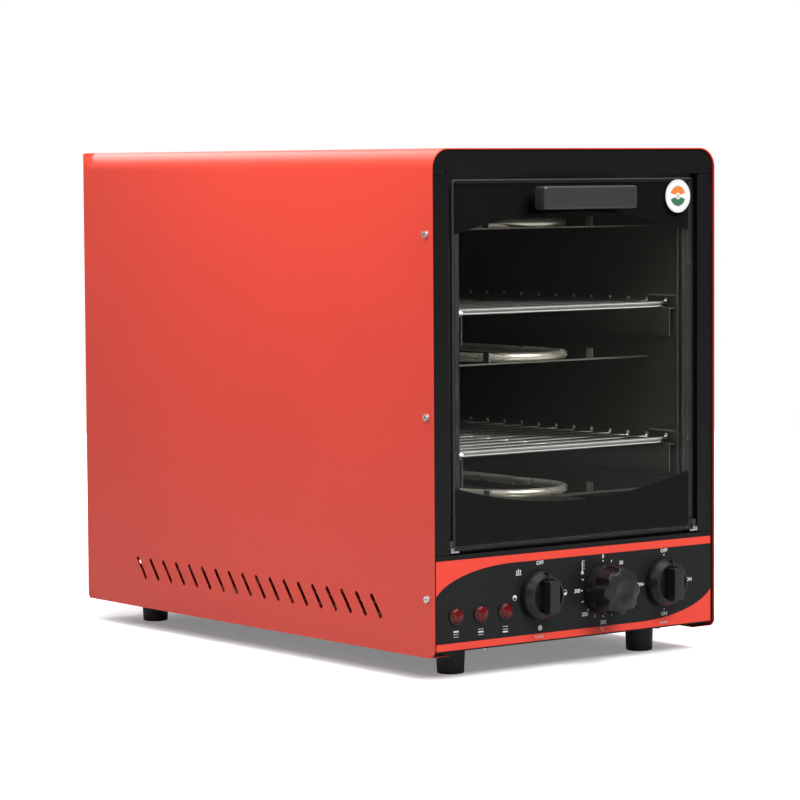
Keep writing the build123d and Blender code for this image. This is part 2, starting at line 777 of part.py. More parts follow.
# Insulation slabs beside, above, below and behind the chamber
wool = 20.0
wool_start = 17.0
wool_end = 498.0
wool_half = chamber_half + skin + 0.1 + wool
wool_rear_start = chamber_back + skin + 0.1
with BuildPart() as insulation:
    for hand in (-1, 1):
        block(sorted((hand * (wool_half - wool), hand * wool_half)), (wool_start, wool_end),
              (bay_top + 2, chamber_top + skin))
    block((-wool_half, wool_half), (wool_start, wool_end),
          (chamber_top + skin + 0.1, chamber_top + skin + 0.1 + wool))
    block((-chamber_half - skin, chamber_half + skin), (wool_start, wool_rear_start - 0.1),
          (bay_top + 1.4, mouth_low - skin - 0.1))
    block((-chamber_half - skin, chamber_half + skin), (wool_rear_start, wool_end),
          (bay_top + 1.4, chamber_top + skin))
    with BuildSketch(face(wool_rear_start - 1)):
        with Locations(*leg_places):
            Circle(8.2)
        with Locations((bulb_x, up(bulb_level))):
            Circle(3.6)
    extrude(amount=-(wool_end - wool_rear_start + 2), mode=Mode.SUBTRACT)
save(insulation, "insulation")

# Sheet between the chamber and the control bay, on four angle posts
with BuildPart() as bay_divider:
    block((-146.8, 146.8), (14, 22.6), (bay_top, bay_top + sheet))
    block((-146.8, 146.8), (14, 14 + sheet), (bay_top + sheet, ring_low - 0.2))
    block((-inner_half + 1.4, inner_half - 1.4), (22.6, rear_bay), (bay_top, bay_top + sheet))
save(bay_divider, "bay_divider")

base_low = panel_low + sheet
base_up = base_low + sheet
with BuildPart() as bay_posts:
    for x in (-150, 150):
        for y in (62, 482):
            hand = 1 if x > 0 else -1
            block(sorted((x, x - hand * 1.5)), (y, y + 14), (base_up, bay_top))
            block(sorted((x, x - hand * 14)), (y, y + 1.5), (base_up, bay_top))
save(bay_posts, "bay_posts")

# Base: a slotted sheet over the panel's lower flange, turned down at the sides to stand on
# the shell's lower flanges
foot_places = [(hand * x, back(y)) for x, y in ((113.7, 45.7), (120, 518)) for hand in (-1, 1)]
base_half = width / 2 - skin - 0.3
base_start = 22.6
base_end = 551.5
with BuildPart() as base_pan:
    with BuildSketch(level(base_low)):
        with Locations((0, back((base_start + base_end) / 2))):
            Rectangle(2 * base_half, base_end - base_start)
        with Locations((0, back((6 + base_start) / 2))):
            Rectangle(2 * (inner_half - 3), base_start - 6)
        with Locations((0, back((base_start + base_end) / 2))):
            with GridLocations(24, 70, 7, 4):
                SlotOverall(40, 5, rotation=90, mode=Mode.SUBTRACT)
        with Locations(*foot_places):
            Circle(1.8, mode=Mode.SUBTRACT)
        with Locations(*panel_screw_places):
            Circle(1.8, mode=Mode.SUBTRACT)
    extrude(amount=sheet)
    for hand in (-1, 1):
        block(sorted((hand * (base_half - sheet), hand * base_half)), (base_start, base_end),
              (skin, base_up))
save(base_pan, "base_pan")

# Rear cover: a flat square-cornered painted plate with vents and a hole for the cable gland
gland_x = -110.0
gland_level = 45.0
with BuildPart() as back_panel:
    with BuildSketch(face(shell_depth)):
        with Locations((0, up((height + 2) / 2))):
            Rectangle(width, height - 2)
        fillet(vertices(), 2)
        with Locations((0, up(400))):
            with GridLocations(16, 40, 14, 2):
                SlotOverall(30, 5, rotation=90, mode=Mode.SUBTRACT)
        with Locations((-40, up(45))):
            with GridLocations(16, 40, 9, 1):
                SlotOverall(30, 5, rotation=90, mode=Mode.SUBTRACT)
        with Locations((gland_x, up(gland_level))):
            Circle(8.2, mode=Mode.SUBTRACT)
        with Locations(*rear_screws):
            Circle(1.8, mode=Mode.SUBTRACT)
    extrude(amount=-sheet)
save(back_panel, "back_panel")

with BuildPart() as back_screws:
    screw_out(rear_face(depth), rear_screws, 8, 3.2, 1.8)
save(back_screws, "back_screws")

# Cable gland in the rear cover: nut, flange, hexagon and domed cap with its bore
with BuildPart() as cable_gland:
    for start, length, outline_r, corners in ((shell_depth - 5, 5, 11, 6), (shell_depth - 9, 12, 8, 0),
                                              (depth, 3, 12, 0), (depth + 3, 8, 11.5, 6)):
        with BuildSketch(rear_face(start)):
            with Locations((-gland_x, up(gland_level))):
                if corners:
                    RegularPolygon(outline_r, corners)
                else:
                    Circle(outline_r)
        extrude(amount=length)
    with BuildSketch(rear_face(depth + 11)):
        with Locations((-gland_x, up(gland_level))):
            Circle(9.5)
    extrude(amount=gland_reach - 11)
    fillet(edges().group_by(Axis.Y)[-1], 4)
    with BuildSketch(rear_face(shell_depth - 12)):
        with Locations((-gland_x, up(gland_level))):
            Circle(3.6)
    extrude(amount=40, mode=Mode.SUBTRACT)
save(cable_gland, "cable_gland")

# Terminal block and the loom between it and the switches
loom_x = gland_x + 34
loom_up = 18.6
loom_end = 502.0
block_top = base_up + 19.8
with BuildPart() as terminal_block:
    block((gland_x + 12, gland_x + 56), (loom_end, loom_end + 28), (base_up, block_top))
    with BuildSketch(level(block_top)):
        with Locations((gland_x + 34, back(loom_end + 14))):
            with GridLocations(13, 14, 3, 2):
                Circle(3)
    extrude(amount=-8, mode=Mode.SUBTRACT)
save(terminal_block, "terminal_block")

with BuildPart() as wiring_loom:
    with BuildLine():
        FilletPolyline((selector_x, back(42), up(knob_level)),
                       (selector_x, back(95), up(knob_level)),
                       (loom_x, back(200), up(loom_up)),
                       (loom_x, back(loom_end), up(loom_up)), radius=24)
    with BuildSketch(face(42)):
        with Locations((selector_x, up(knob_level))):
            Circle(3.5)
    sweep()
save(wiring_loom, "wiring_loom")

# Four moulded feet under the base sheet, each on a screw from below
foot_r = 12.3
foot_taper = 2.6
foot_recess = 12.0
with BuildPart() as feet:
    with BuildSketch(Plane.XY):
        with Locations(*foot_places):
            Circle(foot_r)
    extrude(amount=up(base_low), taper=-foot_taper)
    fillet(edges().group_by(Axis.Z)[0], 1.2)
    with BuildSketch(Plane.XY):
        with Locations(*foot_places):
            Circle(5)
    extrude(amount=foot_recess, mode=Mode.SUBTRACT)
    with BuildSketch(Plane.XY):
        with Locations(*foot_places):
            Circle(1.8)
    extrude(amount=up(base_up), mode=Mode.SUBTRACT)
save(feet, "feet")

with BuildPart() as foot_screws:
    under = Plane(origin=(0, 0, foot_recess), x_dir=(1, 0, 0), z_dir=(0, 0, -1))
    screw_out(under, [(x, -y) for x, y in foot_places], up(base_up) - foot_recess + 2)
save(foot_screws, "foot_screws")
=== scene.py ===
import json
from math import cos, pi, radians, sin

import bmesh
import bpy
from mathutils import Matrix, Vector

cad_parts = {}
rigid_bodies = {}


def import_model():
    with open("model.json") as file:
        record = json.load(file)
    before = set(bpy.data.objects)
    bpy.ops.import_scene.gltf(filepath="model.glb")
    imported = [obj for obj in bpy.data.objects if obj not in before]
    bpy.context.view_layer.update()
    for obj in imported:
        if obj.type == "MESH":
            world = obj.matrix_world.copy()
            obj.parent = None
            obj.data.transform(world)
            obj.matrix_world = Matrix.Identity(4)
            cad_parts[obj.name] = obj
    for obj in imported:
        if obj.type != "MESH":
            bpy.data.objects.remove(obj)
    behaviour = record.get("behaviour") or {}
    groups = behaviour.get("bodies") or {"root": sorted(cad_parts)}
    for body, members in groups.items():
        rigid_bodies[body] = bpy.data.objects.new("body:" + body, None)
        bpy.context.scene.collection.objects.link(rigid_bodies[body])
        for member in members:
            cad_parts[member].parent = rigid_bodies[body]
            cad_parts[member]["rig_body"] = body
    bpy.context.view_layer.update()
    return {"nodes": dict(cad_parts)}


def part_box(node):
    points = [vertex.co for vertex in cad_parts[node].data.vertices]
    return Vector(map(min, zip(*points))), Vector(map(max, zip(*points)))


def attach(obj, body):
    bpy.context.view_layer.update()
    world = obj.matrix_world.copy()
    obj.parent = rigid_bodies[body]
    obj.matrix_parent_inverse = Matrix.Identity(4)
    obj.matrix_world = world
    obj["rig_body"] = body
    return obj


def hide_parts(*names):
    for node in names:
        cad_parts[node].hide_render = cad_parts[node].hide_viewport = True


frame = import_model()
scene = bpy.context.scene

# Camera: a long lens at the height of the oven's upper half, to the left of its door.
# It is turned, tilted and rolled by the photograph's own angles.
lens_mm = 151.24
camera_turn = radians(-37.5964)
camera_tilt = radians(3.9102)
camera_roll = radians(-0.3571)
camera_place = Vector((-1.9862, -2.5928, 0.4529))
camera_data = bpy.data.cameras.new("camera")
camera_data.lens = lens_mm
camera_data.sensor_width = 36
camera_data.clip_end = 30
camera = bpy.data.objects.new("camera", camera_data)
camera.matrix_world = (Matrix.Translation(camera_place) @ Matrix.Rotation(camera_turn, 4, "Z")
                       @ Matrix.Rotation(pi / 2 - camera_tilt, 4, "X")
                       @ Matrix.Rotation(camera_roll, 4, "Z"))
scene.collection.objects.link(camera)
scene.camera = camera


# Studio: a pale floor that takes the oven's soft shadow, and a surround that is white to the
# camera and through glass. Gloss mirrors it dimmer, and dimmest in front of the oven, as in a
# real room. Large soft lamps stand over the oven and around it.
def linear(code):
    """A colour written as sRGB hex, as the linear values that Blender keeps."""
    parts = [int(code[i:i + 2], 16) / 255 for i in (1, 3, 5)]
    return [*(p / 12.92 if p <= 0.04045 else ((p + 0.055) / 1.055) ** 2.4 for p in parts), 1.0]


def add_node(tree, kind, inputs, **settings):
    """Add a node with its settings, and link or set each named input."""
    made = tree.nodes.new(kind)
    for key, value in settings.items():
        setattr(made, key, value)
    for key, value in inputs.items():
        if isinstance(value, bpy.types.NodeSocket):
            tree.links.new(value, made.inputs[key])
        else:
            made.inputs[key].default_value = value
    return made


def seen_directly(tree):
    """One for what the eye sees at first hand or through glass, and one for any mirrored ray
    that hasn't met a matt surface."""
    path = add_node(tree, "ShaderNodeLightPath", {})
    bounced = add_node(tree, "ShaderNodeMath", {0: path.outputs["Diffuse Depth"],
                                                1: path.outputs["Glossy Depth"]}, operation="ADD")
    straight = add_node(tree, "ShaderNodeMath", {0: 1.0, 1: bounced.outputs[0]},
                        operation="SUBTRACT", use_clamp=True)
    through = add_node(tree, "ShaderNodeMath", {0: path.outputs["Is Transmission Ray"],
                                                1: straight.outputs[0]}, operation="MULTIPLY")
    sight = add_node(tree, "ShaderNodeMath", {0: path.outputs["Is Camera Ray"],
                                              1: through.outputs[0]}, operation="MAXIMUM")
    mirrored = add_node(tree, "ShaderNodeMath", {0: path.outputs["Glossy Depth"],
                                                 1: path.outputs["Diffuse Depth"]},
                        operation="SUBTRACT", use_clamp=True)
    seen = add_node(tree, "ShaderNodeMath", {0: sight.outputs[0], 1: mirrored.outputs[0]},
                    operation="MAXIMUM")
    return sight, seen


world = bpy.data.worlds.new("studio_surround")
world.use_nodes = True
scene.world = world
sky = world.node_tree
sky.nodes.clear()
sight, seen = seen_directly(sky)
heading = add_node(sky, "ShaderNodeSeparateXYZ",
                   {0: add_node(sky, "ShaderNodeTexCoord", {}).outputs["Generated"]})
room = add_node(sky, "ShaderNodeMapRange", {"Value": heading.outputs["Y"], "From Min": -0.35,
                                            "From Max": 0.25, "To Min": 0.2, "To Max": 0.68})
left_dim = add_node(sky, "ShaderNodeMapRange", {"Value": heading.outputs["X"], "From Min": -0.4,
                                                "From Max": 0.3, "To Min": 0.75,
                                                "To Max": 1.0})
dimmed = add_node(sky, "ShaderNodeMath", {0: room.outputs[0], 1: left_dim.outputs[0]},
                  operation="MULTIPLY")
surround = add_node(sky, "ShaderNodeMath", {0: sight.outputs[0], 1: dimmed.outputs[0]},
                    operation="MAXIMUM")
soft = add_node(sky, "ShaderNodeBackground", {"Color": linear("#E6E8EA"), "Strength": 0.3})
white = add_node(sky, "ShaderNodeBackground", {"Color": linear("#FFFFFF"),
                                               "Strength": surround.outputs[0]})
both = add_node(sky, "ShaderNodeMixShader", {0: seen.outputs[0], 1: soft.outputs[0],
                                             2: white.outputs[0]})
add_node(sky, "ShaderNodeOutputWorld", {"Surface": both.outputs[0]})
scene.view_settings.view_transform = "Standard"

# The eye sees the floor's paper brighten to white away from the oven. Other rays meet it
# mostly grey, so that it throws little light back.
floor_r = 2.6
mirrored_share = 0.25
floor_shape = bmesh.new()
bmesh.ops.create_circle(floor_shape, cap_ends=True, segments=64, radius=floor_r)
floor_mesh = bpy.data.meshes.new("floor")
floor_shape.to_mesh(floor_mesh)
floor_shape.free()
floor = bpy.data.objects.new("floor", floor_mesh)
scene.collection.objects.link(floor)
floor_paper = bpy.data.materials.new("floor_paper")
floor_paper.use_nodes = True
tree = floor_paper.node_tree
tree.nodes.clear()
sight, seen = seen_directly(tree)
spread = add_node(tree, "ShaderNodeVectorMath",
                  {0: add_node(tree, "ShaderNodeTexCoord", {}).outputs["Object"]},
                  operation="LENGTH")
brighter = add_node(tree, "ShaderNodeMapRange", {"Value": spread.outputs["Value"],
                                                 "From Min": 0.35, "From Max": 0.95,
                                                 "To Min": 0.22, "To Max": 0.9})
matt = add_node(tree, "ShaderNodeBsdfDiffuse", {"Color": linear("#F2F2F2")})
unseen = add_node(tree, "ShaderNodeBsdfDiffuse", {"Color": linear("#8C8C8C")})
glow = add_node(tree, "ShaderNodeEmission", {"Color": linear("#FFFFFF"),
                                             "Strength": brighter.outputs[0]})
lit = add_node(tree, "ShaderNodeAddShader", {0: matt.outputs[0], 1: glow.outputs[0]})
faint = add_node(tree, "ShaderNodeMath", {0: seen.outputs[0], 1: mirrored_share},
                 operation="MULTIPLY")
share = add_node(tree, "ShaderNodeMath", {0: sight.outputs[0], 1: faint.outputs[0]},
                 operation="MAXIMUM")
shown = add_node(tree, "ShaderNodeMixShader", {0: share.outputs[0], 1: unseen.outputs[0],
                                               2: lit.outputs[0]})
add_node(tree, "ShaderNodeOutputMaterial", {"Surface": shown.outputs[0]})
floor.data.materials.append(floor_paper)

for name, place, wide, deep, watts, aim in (
        ("key", (-1.5, -1.3, 1.5), 1.0, 1.0, 3, (0, -0.1, 0.3)),
        ("top_left", (-0.5, -0.08, 0.95), 0.3, 1.3, 12, (-0.2, 0, 0.3)),
        ("fill", (0.3, -2.3, 2.3), 1.6, 1.6, 108, (0, -0.2, 0.2)),
        ("overhead", (0.0, 0.2, 2.4), 2.2, 2.2, 40, (0, 0, 0)),
        ("back_fill", (0.1, 2.4, 1.5), 1.6, 1.6, 20, (0, 0.2, 0.2)),
        ("right_fill", (1.9, 0.7, 1.3), 1.4, 1.4, 14, (0, 0, 0.25))):
    lamp_data = bpy.data.lights.new(name, "AREA")
    lamp_data.shape = "RECTANGLE"
    lamp_data.size = wide
    lamp_data.size_y = deep
    lamp_data.energy = watts
    lamp = bpy.data.objects.new(name, lamp_data)
    lamp.location = place
    lamp.rotation_euler = (Vector(aim) - Vector(place)).to_track_quat("-Z", "Y").to_euler()
    scene.collection.objects.link(lamp)


# Outer shell: one sheet of 1 mm steel bent over two sides and the top, powder-coated red. The
# cured powder leaves a faint orange peel about 1.5 mm across and a satin gloss that varies a
# little over the sheet.
mm = 0.001


def start_material(name):
    """A new material with its node tree and its Principled shader."""
    made = bpy.data.materials.new(name)
    made.use_nodes = True
    return made, made.node_tree, made.node_tree.nodes["Principled BSDF"]


def finish(name, light, dark, rough, grain_mm, relief_mm, stretch=(1, 1, 1), patch_mm=60.0,
           **fixed):
    """A finish with soft patches of two tones, a grain of a real size in its gloss and relief,
    and any of the shader's own sockets at a fixed value. The tint's sockets 6 and 7 are its
    two colours."""
    made, tree, shader = start_material(name)
    place = add_node(tree, "ShaderNodeTexCoord", {}).outputs["Object"]
    along = add_node(tree, "ShaderNodeMapping", {"Vector": place, "Scale": stretch})
    patch = add_node(tree, "ShaderNodeTexNoise", {"Vector": place, "Scale": 1000 / patch_mm,
                                                  "Detail": 3.0})
    grain = add_node(tree, "ShaderNodeTexNoise", {"Vector": along.outputs[0],
                                                  "Scale": 1000 / grain_mm, "Detail": 3.0})
    tint = add_node(tree, "ShaderNodeMix", {0: patch.outputs["Fac"], 6: linear(light),
                                            7: linear(dark)}, data_type="RGBA")
    gloss = add_node(tree, "ShaderNodeMapRange", {"Value": grain.outputs["Fac"], "From Min": 0.3,
                                                  "From Max": 0.7, "To Min": rough[0],
                                                  "To Max": rough[1]})
    relief = add_node(tree, "ShaderNodeBump", {"Height": grain.outputs["Fac"], "Strength": 1.0,
                                               "Distance": relief_mm * mm})
    tree.links.new(tint.outputs[2], shader.inputs["Base Color"])
    tree.links.new(gloss.outputs[0], shader.inputs["Roughness"])
    tree.links.new(relief.outputs[0], shader.inputs["Normal"])
    for key, value in fixed.items():
        shader.inputs[key.replace("_", " ")].default_value = value
    return made


def finished(shape, name, material, body, angle=35):
    """Make a piece of a shape: smooth but for its corners, riding on a body."""
    mesh = bpy.data.meshes.new(name)
    shape.to_mesh(mesh)
    shape.free()
    mesh.materials.append(material)
    mesh.shade_smooth()
    mesh.set_sharp_from_angle(angle=radians(angle))
    piece = bpy.data.objects.new(name, mesh)
    scene.collection.objects.link(piece)
    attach(piece, body)
    return piece


def softened(node, material, edge_mm, steps=2):
    """A merged copy of a CAD node with its sharp edges rounded, shown in the node's place."""
    source = frame["nodes"][node]
    shape = bmesh.new()
    shape.from_mesh(source.data)
    bmesh.ops.remove_doubles(shape, verts=shape.verts, dist=0.002 * mm)
    bmesh.ops.dissolve_limit(shape, angle_limit=radians(0.3), verts=shape.verts,
                             edges=shape.edges)
    piece = finished(shape, f"{node}_sheet", material, source["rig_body"])
    rounding = piece.modifiers.new("rounded_edges", "BEVEL")
    rounding.width = edge_mm * mm
    rounding.segments = steps
    rounding.limit_method = "ANGLE"
    rounding.angle_limit = radians(40)
    rounding.use_clamp_overlap = True
    rounding.harden_normals = True
    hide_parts(node)
    return piece


def dress(material, *names):
    """Put a material on CAD nodes."""
    for name in names:
        node = frame["nodes"][name]
        node.data.materials.clear()
        node.data.materials.append(material)


red_paint = finish("red_powder_coat", "#D63C29", "#CA3524", (0.27, 0.39), 1.5, 0.012,
                   patch_mm=170.0, IOR=1.5)
softened("outer_shell", red_paint, 0.3)

# Screws: zinc-plated steel pan heads with a cross recess, driven through the sheet. They are
# bright but a little dull from the plating bath.
zinc_screw = finish("zinc_plated_screw", "#D9DADB", "#BFC2C4", (0.18, 0.34), 0.8, 0.004,
                    patch_mm=4.0, Metallic=1.0)
dress(zinc_screw, "shell_screws", "handle_screws", "mouth_screws", "back_screws", "foot_screws",
      "panel_screws")

# Header, stiles and control panel: folded 1.2 mm steel pans, powder-coated satin black. The
# light catches their folded edges. The header's screws are oxidised a duller black.
black_paint = finish("black_powder_coat", "#0D0C0C", "#0B0A0A", (0.3, 0.44), 1.5, 0.012,
                     patch_mm=120.0, IOR=1.3)
for name in ("header", "left_stile", "right_stile", "control_panel"):
    softened(name, black_paint, 0.45)
black_screw = finish("black_oxide_screw", "#100F0E", "#0B0B0A", (0.3, 0.5), 0.6, 0.004,
                     patch_mm=4.0, IOR=1.4)
dress(black_screw, "header_screws")


# Gap strip: a 1 mm sheet in the same black powder coat, put behind the gap between the
# panel's top and the chamber as painted shade for that gap. It ends short of the hinge clips,
# which swing past it.
def plain_block(low, high):
    """A box between two corners."""
    shape = bmesh.new()
    bmesh.ops.create_cube(shape, size=1.0, matrix=Matrix.Translation((low + high) / 2)
                          @ Matrix.Diagonal((*(high - low), 1)))
    return shape


strip_half_mm = 137.4
strip_thick_mm = 1.0
strip_ahead_mm = 2.9
strip_overlap_mm = 0.7
panel_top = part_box("control_panel")[1].z
divider_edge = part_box("bay_divider")[0]
strip_rear = divider_edge.y - strip_ahead_mm * mm
strip = plain_block(
    Vector((-strip_half_mm * mm, strip_rear - strip_thick_mm * mm, panel_top + 0.1 * mm)),
    Vector((strip_half_mm * mm, strip_rear, divider_edge.z + strip_overlap_mm * mm)))
finished(strip, "gap_shade_strip", black_paint, "oven")

# Control panel's label: satin polyester film printed red, with a black field over it, stuck
# on the steel. The film is smoother than the paint.
red_film = finish("red_polyester_film", "#E84636", "#E14232", (0.34, 0.44), 3.0, 0.003,
                  patch_mm=90.0, IOR=1.4)
black_film = finish("black_polyester_film", "#161717", "#131414", (0.36, 0.46), 3.0, 0.003,
                    patch_mm=90.0, IOR=1.3)
dress(red_film, "panel_label")
dress(black_film, "label_field")

# The label's print: pale screen ink with the dial's numbers, OFF and ON, dots, dashes and
# plain pictograms. The matt ink stands pale on the dark film. Each mark is drawn flat, across
# and up the panel in millimetres, and the whole print is then stood up on the label.
ink = finish("pale_screen_ink", "#DADAD6", "#CFCFCB", (0.45, 0.6), 0.8, 0.002, patch_mm=20.0)
ink_gap_mm = 0.03
capital_mm = 3.4
dot_r_mm = 0.75
fine_line_mm = 0.45
knob_level_mm = 46.9
dot_ring_mm = 25.6
selector_mm = -45.0
thermostat_mm = 30.5
centre_heater_mm = 105.6
marks = bmesh.new()


def print_words(words, cap_mm, x, up):
    """Print figures or letters with capitals this high, centred on a place and made a little
    bolder than the typeface."""
    capital_share = 0.71
    data = bpy.data.curves.new(words, "FONT")
    data.body = words
    data.size = cap_mm * mm / capital_share
    data.offset = 0.035 * cap_mm * mm
    data.align_x = "CENTER"
    data.align_y = "CENTER"
    lettering = bpy.data.objects.new(words, data)
    scene.collection.objects.link(lettering)
    bpy.context.view_layer.update()
    flat = bpy.data.meshes.new_from_object(
        lettering.evaluated_get(bpy.context.evaluated_depsgraph_get()))
    flat.transform(Matrix.Translation((x * mm, up * mm, 0)))
    marks.from_mesh(flat)
    bpy.data.objects.remove(lettering)
    bpy.data.meshes.remove(flat)


def print_dot(radius, x, up, half=0):
    """Print a disc, or only its upper or lower half."""
    disc = bmesh.ops.create_circle(marks, cap_ends=True, segments=24, radius=radius * mm,
                                   matrix=Matrix.Translation((x * mm, up * mm, 0)))["verts"]
    if half:
        whole = {*disc, *(e for v in disc for e in v.link_edges),
                 *(f for v in disc for f in v.link_faces)}
        bmesh.ops.bisect_plane(marks, geom=list(whole), plane_co=(x * mm, up * mm, 0),
                               plane_no=(0, -half, 0), clear_outer=True)


def print_bar(wide, high, x, up, turn=0.0):
    """Print a bar of this width and height, turned clockwise by so many degrees."""
    bmesh.ops.create_grid(marks, x_segments=1, y_segments=1, size=0.5,
                          matrix=Matrix.Translation((x * mm, up * mm, 0))
                          @ Matrix.Rotation(radians(-turn), 4, "Z")
                          @ Matrix.Diagonal((wide * mm, high * mm, 1, 1)))


def print_ring(inner, outer, x, up):
    """Print a thin ring."""
    ends = [marks.verts.new((x * mm + r * mm, up * mm, 0)) for r in (inner, outer)]
    edge = marks.edges.new(ends)
    bmesh.ops.spin(marks, geom=[*ends, edge], cent=(x * mm, up * mm, 0), axis=(0, 0, 1),
                   angle=2 * pi, steps=28, use_merge=True)


def round_dial(middle, radius, degrees):
    """The place on the panel at this radius and clockwise angle round a knob."""
    turn = radians(degrees)
    return middle + radius * sin(turn), knob_level_mm + radius * cos(turn)


# The thermostat's scale: 0.9 degrees of turn to each degree of heat, with a dot at each
# figure and a dash between.
for heat in (0, 50, 200, 250, 300):
    print_words(str(heat), capital_mm,
                *round_dial(thermostat_mm, 31.2 if heat else 29.6, 0.9 * heat))
    print_dot(dot_r_mm, *round_dial(thermostat_mm, dot_ring_mm, 0.9 * heat))
for degrees in (22.5, 67.5, 157.5, 202.5, 247.5, 292.5):
    print_bar(0.7, 2.6, *round_dial(thermostat_mm, dot_ring_mm + 1.0, degrees), turn=degrees)
# The switches' places, and a half-filled ring for each heater that the left one turns on.
for words, across, degrees in (("OFF", 29.4, 0), ("ON", 30.6, -90), ("ON", 31.0, 90),
                               ("ON", 29.6, 180)):
    print_words(words, capital_mm, *round_dial(centre_heater_mm, across, degrees))
    print_dot(dot_r_mm, *round_dial(centre_heater_mm, dot_ring_mm, degrees))
print_words("OFF", capital_mm, *round_dial(selector_mm, 29.4, 0))
for half, degrees in ((1, -90), (-1, 90), (1, 180)):
    x, z = round_dial(selector_mm, 29.6, degrees)
    print_ring(2.1, 2.5, x, z)
    print_dot(2.1, x, z, half)
    if degrees == 180:
        print_dot(2.1, x, z, -half)
# Three rising bars on a plate for warmth, a thermometer, zigzags for the heating elements,
# and three levels under each lamp with its own drawn bold.
warm_x, warm_up = round_dial(selector_mm, 33.6, -48)
for shift in (-2.1, 0, 2.1):
    print_bar(1.0, 3.2 if shift else 4.2, warm_x + shift, warm_up + (0.6 if shift else 1.1))
print_bar(6.4, 0.8, warm_x, warm_up - 2.0)
tube_x = thermostat_mm - 25.0
bulb_up = 63.4
print_ring(1.3, 1.7, tube_x, bulb_up)
print_dot(1.0, tube_x, bulb_up)
print_bar(0.9, 9.4, tube_x, bulb_up + 6.2)
for rise in range(5):
    print_bar(1.5, fine_line_mm, tube_x + 1.9, bulb_up + 3.4 + 1.9 * rise)
foot_line_mm = 9.2
tooth_step_mm = 1.8
print_words("°C", 2.9, thermostat_mm - 1.0, foot_line_mm)
for middle in (selector_mm - 1.0, centre_heater_mm - 0.5):
    for tooth in range(6):
        print_bar(0.5, 2.9, middle + (tooth - 2.5) * tooth_step_mm, foot_line_mm,
                  turn=28 if tooth % 2 else -28)
lamp_mm = (-142.2, -113.9, -85.6)
for own_level, x in zip((2, 1, 0), lamp_mm):
    for shelf in range(3):
        print_bar(6.0, 1.4 if shelf == own_level else fine_line_mm, x, 17.4 + 2.4 * shelf)
field_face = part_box("label_field")[0].y
shell_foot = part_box("outer_shell")[0].z
bmesh.ops.transform(
    marks, verts=marks.verts,
    matrix=Matrix.Translation((0, field_face - ink_gap_mm * mm, shell_foot))
    @ Matrix.Rotation(pi / 2, 4, "X"))
bmesh.ops.recalc_face_normals(marks, faces=marks.faces)
for printed in [f for f in marks.faces if f.normal.y > 0]:
    printed.normal_flip()
finished(marks, "panel_print", ink, "oven")

# Indicator lamps: moulded clear-red acrylic lenses, each a plain ring round a dome whose
# facets meet near its middle, over a small lamp in a pale body behind the panel. Unlit, they
# are a deep glossy red.
lamp_red = finish("red_acrylic_lens", "#6E0A0E", "#4A0508", (0.08, 0.16), 5.0, 0.001,
                  patch_mm=6.0, IOR=1.4)
lamp_ring = finish("dark_lens_ring", "#2A0A0A", "#1E0707", (0.2, 0.3), 2.0, 0.002, patch_mm=6.0,
                   IOR=1.49)
lamp_level_mm = 36.0
ring_r_mm = 8.2
ring_high_mm = 1.4
lamp_pieces = []
for number, x in enumerate(lamp_mm):
    facing = (Matrix.Translation((x * mm, field_face, shell_foot + lamp_level_mm * mm))
              @ Matrix.Rotation(pi / 2, 4, "X"))
    ring = bmesh.new()
    bmesh.ops.create_cone(ring, cap_ends=True, segments=40, radius1=ring_r_mm * mm,
                          radius2=(ring_r_mm - 0.2) * mm, depth=ring_high_mm * mm,
                          matrix=facing @ Matrix.Translation((0, 0, ring_high_mm / 2 * mm)))
    rim = [e for e in ring.edges if e.calc_face_angle(0) > radians(60)]
    bmesh.ops.bevel(ring, geom=rim, offset=0.35 * mm, segments=2, affect="EDGES", profile=0.5,
                    material=-1)
    ring_piece = finished(ring, f"lamp_ring_{number + 1}", lamp_ring, "oven")
    dome = bmesh.new()
    for low, high, start, end, turn, closed in ((7.1, 5.6, ring_high_mm, 3.3, 0, False),
                                                (5.6, 0.9, 3.3, 4.7, pi / 8, True)):
        bmesh.ops.create_cone(dome, cap_ends=closed, segments=8, radius1=low * mm,
                              radius2=high * mm, depth=(end - start) * mm,
                              matrix=facing @ Matrix.Translation((0, 0, (start + end) / 2 * mm))
                              @ Matrix.Rotation(turn, 4, "Z"))
    dome_piece = finished(dome, f"lamp_dome_{number + 1}", lamp_red, "oven", angle=8)
    lamp_pieces += [ring_piece, dome_piece]
for piece in lamp_pieces:
    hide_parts("indicator_lenses")
pale_nylon = finish("pale_nylon_body", "#D2D1C8", "#C6C4BA", (0.5, 0.65), 1.0, 0.01,
                    patch_mm=20.0)
dress(pale_nylon, "indicator_bodies")

# Knobs: black phenolic mouldings with a fine mould grain and softened edges. The moulded
# skin is satin, and its broken edges catch the light.
phenolic = finish("black_phenolic", "#1B1B1B", "#161616", (0.3, 0.42), 0.7, 0.006, patch_mm=14.0,
                  IOR=1.45)
for name, edge_mm in (("selector_knob", 0.5), ("centre_heater_knob", 0.5),
                      ("thermostat_knob", 0.6)):
    softened(name, phenolic, edge_mm, steps=3)

# Behind the panel: dull grey zinc-plated shafts and thermostat case, matt black thermoplastic
# switches, and the thermostat's smooth drawn copper capillary and bulb.
zinc_sheet = finish("zinc_plated_sheet", "#A4A8AA", "#8E9294", (0.3, 0.48), 4.0, 0.004,
                    patch_mm=25.0, Metallic=1.0)
dress(zinc_sheet, "selector_shaft", "thermostat_shaft", "centre_heater_shaft", "thermostat_body",
      "hinge_brackets", "bay_divider", "bay_posts", "base_pan")
switch_black = finish("moulded_switch_black", "#232323", "#1C1C1C", (0.4, 0.55), 0.8, 0.008)
dress(switch_black, "selector_switch", "centre_heater_switch")
copper = finish("drawn_copper", "#C4795A", "#A9644A", (0.22, 0.36), 3.0, 0.003, patch_mm=15.0,
                Metallic=1.0)
dress(copper, "thermostat_bulb")

